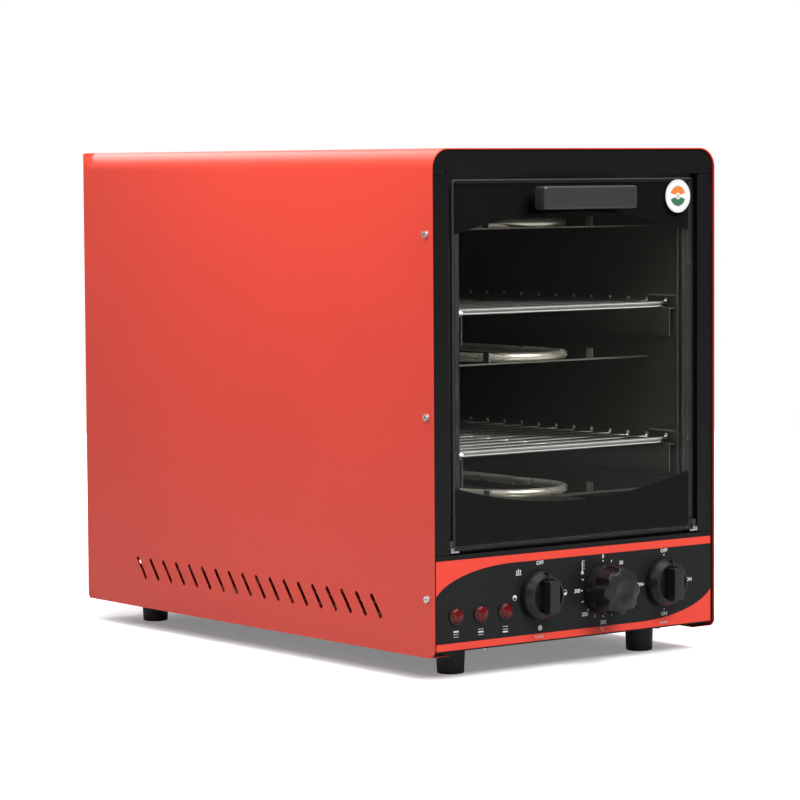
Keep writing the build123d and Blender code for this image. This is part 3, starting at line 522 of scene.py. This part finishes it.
# Door: a pane of 4 mm tempered glass with rounded corners and ground edges. The polished
# faces are clear, and the ground edge is a matt grey-green. The pane's IOR is set below real
# glass, so that it mirrors as little of the surround as a door in a darker room.
pane_low, pane_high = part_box("door_glass")
pane = plain_block(pane_low, pane_high)
corners = [e for e in pane.edges if abs((e.verts[0].co - e.verts[1].co).normalized().y) > 0.9]
bmesh.ops.bevel(pane, geom=corners, offset=3 * mm, segments=6, affect="EDGES", profile=0.5,
                material=-1)
for face_y, cut_mm in ((pane_low.y, 0.9), (pane_high.y, 0.5)):
    outline = [e for e in pane.edges if all(abs(v.co.y - face_y) < 1e-6 for v in e.verts)]
    bmesh.ops.bevel(pane, geom=outline, offset=cut_mm * mm, segments=1, affect="EDGES",
                    profile=0.5, material=-1)
for f in pane.faces:
    f.material_index = 0 if abs(f.normal.y) > 0.95 else 1
clear_glass, tree, shader = start_material("tempered_float_glass")
shader.inputs["Base Color"].default_value = linear("#F4F5F3")
shader.inputs["Transmission Weight"].default_value = 1.0
shader.inputs["Roughness"].default_value = 0.0
shader.inputs["IOR"].default_value = 1.16
place = add_node(tree, "ShaderNodeTexCoord", {}).outputs["Object"]
wave = add_node(tree, "ShaderNodeTexNoise", {"Vector": place, "Scale": 14.0, "Detail": 1.0})
roll = add_node(tree, "ShaderNodeBump", {"Height": wave.outputs["Fac"], "Strength": 1.0,
                                         "Distance": 0.02 * mm})
tree.links.new(roll.outputs[0], shader.inputs["Normal"])
light_through = add_node(tree, "ShaderNodeBsdfTransparent", {"Color": linear("#ECEEEB")})
pane_mix = add_node(tree, "ShaderNodeMixShader",
                    {0: add_node(tree, "ShaderNodeLightPath", {}).outputs["Is Shadow Ray"],
                     1: shader.outputs[0], 2: light_through.outputs[0]})
tree.links.new(pane_mix.outputs[0], tree.nodes["Material Output"].inputs["Surface"])
ground_edge = finish("ground_glass_edge", "#3A4744", "#2F3B38", (0.45, 0.6), 0.5, 0.01,
                     patch_mm=30.0, IOR=1.4)
pane_piece = finished(pane, "glass_pane", clear_glass, "door", angle=20)
pane_piece.data.materials.append(ground_edge)
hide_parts("door_glass")

# Fired print: black ceramic ink melted on the back of the glass, glossy through the pane. A
# narrow band of it runs along the foot of the glass between the clips.
frit = finish("black_ceramic_print", "#1B1A19", "#181716", (0.3, 0.4), 1.2, 0.002, patch_mm=80.0,
              IOR=1.35)
dress(frit, "upper_print", "lower_print")
print_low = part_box("lower_print")[0]
band_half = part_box("right_hinge_clip")[0].x - 0.6 * mm
band_thick = 0.15 * mm
band = plain_block(Vector((-band_half, print_low.y, pane_low.z + 0.3 * mm)),
                   Vector((band_half, print_low.y + band_thick, print_low.z - 0.02 * mm)))
finished(band, "print_foot_band", frit, "door")

# Hinge clips: folded stainless steel, each pinched on a lower corner of the glass. The lip keeps
# the bright steel, and above it the same steel is painted dark as painted shade, standing for the
# dark bay it reflects. The brushed lines are drawn coarser than real ones, so that they show.
stainless = finish("satin_stainless", "#C6C7C7", "#B6B7B7", (0.26, 0.36), 0.5, 0.002,
                   stretch=(1, 1, 0.05), patch_mm=8.0, Metallic=1.0)
shaded_clip_steel = finish("shade_painted_stainless", "#5A5B5B", "#4C4D4D", (0.35, 0.5), 0.5, 0.002,
                    patch_mm=8.0, Metallic=1.0)
lip_mm = 5.0
for name in ("left_hinge_clip", "right_hinge_clip"):
    clip = softened(name, stainless, 0.25)
    clip.data.materials.append(shaded_clip_steel)
    # Faces above the lip take the painted shade.
    for face in clip.data.polygons:
        face.material_index = int(face.center.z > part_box(name)[0].z + lip_mm * mm)
dress(stainless, "rack_guides")

# Handle: a black glass-filled nylon bar on two posts, fine-grained and paler on its face
# than the knobs.
handle_nylon = finish("black_filled_nylon", "#2F2F32", "#262629", (0.34, 0.46), 0.8, 0.008,
                      patch_mm=30.0, IOR=1.5)
softened("door_handle", handle_nylon, 0.4)

# Round sticker: white coated paper with fine grey rings and two plain arcs of colour. The
# satin paper is a little brighter than the inks on it.
paper = finish("coated_paper", "#EDEDEA", "#E6E6E2", (0.4, 0.52), 0.6, 0.004, patch_mm=25.0)
ring_ink = finish("grey_label_ink", "#8E9296", "#84888C", (0.5, 0.6), 0.6, 0.002)
warm_ink = finish("orange_label_ink", "#DD7A34", "#D4722E", (0.5, 0.6), 0.6, 0.002)
leaf_ink = finish("green_label_ink", "#2F6B4C", "#2A6245", (0.5, 0.6), 0.6, 0.002)
sticker_low, sticker_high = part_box("round_sticker")
sticker_middle = (sticker_low + sticker_high) / 2
sticker_r = (sticker_high.x - sticker_low.x) / 2
sticker_thick = sticker_high.y - sticker_low.y
facing = (Matrix.Translation((sticker_middle.x, sticker_high.y, sticker_middle.z))
          @ Matrix.Rotation(pi / 2, 4, "X"))
sticker = bmesh.new()
bmesh.ops.create_cone(sticker, cap_ends=True, segments=64, radius1=sticker_r, radius2=sticker_r,
                      depth=sticker_thick * 0.7,
                      matrix=facing @ Matrix.Translation((0, 0, sticker_thick * 0.35)))
# Each printed arc: its ink, its inner and outer radius in mm, its start and its sweep.
grey, orange, green = 1, 2, 3
arc_gap = 0.3
for index, inner, outer, start, turn in (
        (grey, 14.0, 14.4, 0, 2 * pi), (grey, 9.6, 9.9, 0, 2 * pi),
        (orange, 3.0, 9.2, arc_gap, pi - 2 * arc_gap),
        (green, 3.0, 9.2, pi + arc_gap, pi - 2 * arc_gap), (grey, 0.8, 1.8, 0, 2 * pi)):
    before = set(sticker.faces)
    ends = [sticker.verts.new(facing @ Vector((r * mm * cos(start), r * mm * sin(start),
                                               sticker_thick * 0.85))) for r in (inner, outer)]
    edge = sticker.edges.new(ends)
    bmesh.ops.spin(sticker, geom=[*ends, edge], cent=facing @ Vector((0, 0, sticker_thick * 0.85)),
                   axis=facing.to_3x3() @ Vector((0, 0, 1)), angle=turn, steps=40,
                   use_merge=turn == 2 * pi)
    for f in set(sticker.faces) - before:
        f.material_index = index
        f.normal_update()
        if f.normal.y > 0:
            f.normal_flip()
sticker_piece = finished(sticker, "sticker_disc", paper, "door")
for extra in (ring_ink, warm_ink, leaf_ink):
    sticker_piece.data.materials.append(extra)
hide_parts("round_sticker")

# Chamber: aluminised steel, bent and screwed, with a ring round its mouth, painted a satin
# brown-black as painted shade for the dim inside of the oven. The closed door presses on a soft,
# matt seal of moulded silicone.
shaded_chamber_steel = finish("shade_painted_aluminised_steel", "#45403B", "#3C3833", (0.34, 0.5), 2.0, 0.004,
                       patch_mm=35.0, IOR=1.5)
dress(shaded_chamber_steel, "mouth_ring", "chamber_wrap", "chamber_rear_wall", "chamber_floor",
      "rack_runners")
silicone = finish("black_silicone_seal", "#1A1A1A", "#131313", (0.5, 0.65), 0.6, 0.01,
                  patch_mm=20.0, IOR=1.41)
softened("door_seal", silicone, 0.5)

# Racks: drawn steel wire, spot-welded and chrome plated, so that each wire is a bright line
# with a dark underside. Each cross wire's tip is turned up.
chrome = finish("chrome_plated_wire", "#F2F2F0", "#E2E2E0", (0.08, 0.18), 6.0, 0.0,
                patch_mm=12.0, Metallic=1.0)
dress(chrome, "rack_lower", "rack_upper")

# Heaters: hairpin tubes in a satin nickel-alloy sheath, tinted straw by heat. Each rests at
# the front on a strip of aluminised steel and passes the rear wall in white steatite bushes.
sheath = finish("nickel_alloy_sheath", "#DAD5CA", "#C9C2B2", (0.26, 0.32), 40.0, 0.0,
                patch_mm=40.0, Metallic=0.8)
dress(sheath, "heater_top", "heater_centre", "heater_bottom")
support_steel = finish("aluminised_strip_steel", "#A09D96", "#8C8982", (0.3, 0.42), 2.0, 0.003,
                       patch_mm=25.0, Metallic=1.0)
dress(support_steel, "heater_support_bottom", "heater_support_centre", "heater_support_top")
steatite = finish("white_steatite", "#DCD8CC", "#D0CBBD", (0.6, 0.75), 0.8, 0.01)
dress(steatite, "heater_bushes")

# Insulation: mineral wool slabs round the chamber. The matted face is straw-coloured and
# fibrous, with no gloss.
wool = finish("mineral_wool", "#B9A877", "#A2915F", (0.85, 0.95), 2.5, 0.6, patch_mm=30.0)
dress(wool, "insulation")

# Wiring: a pale nylon terminal block, and leads in a black braided sleeve whose weave breaks
# up its sheen.
dress(pale_nylon, "terminal_block")
braid = finish("braided_sleeve", "#1B1B1C", "#141415", (0.6, 0.75), 1.2, 0.15,
               stretch=(1, 0.4, 1), patch_mm=10.0)
dress(braid, "wiring_loom")

# Rear cover: a flat plate in the shell's red powder coat, with rows of vents, screwed to the
# shell's rear flange. Its cable gland is matt moulded nylon.
softened("back_panel", red_paint, 0.3)
gland_nylon = finish("black_gland_nylon", "#1E1E1E", "#181818", (0.4, 0.52), 0.7, 0.006,
                     patch_mm=12.0)
softened("cable_gland", gland_nylon, 0.5)

# Feet: moulded black thermoplastic rubber cups with a matt, fine-grained skin, each on a
# screw from below.
foot_rubber = finish("black_thermoplastic_rubber", "#1D1C1A", "#161614", (0.45, 0.62), 0.8, 0.01,
                     patch_mm=14.0, IOR=1.45)
softened("feet", foot_rubber, 0.4)
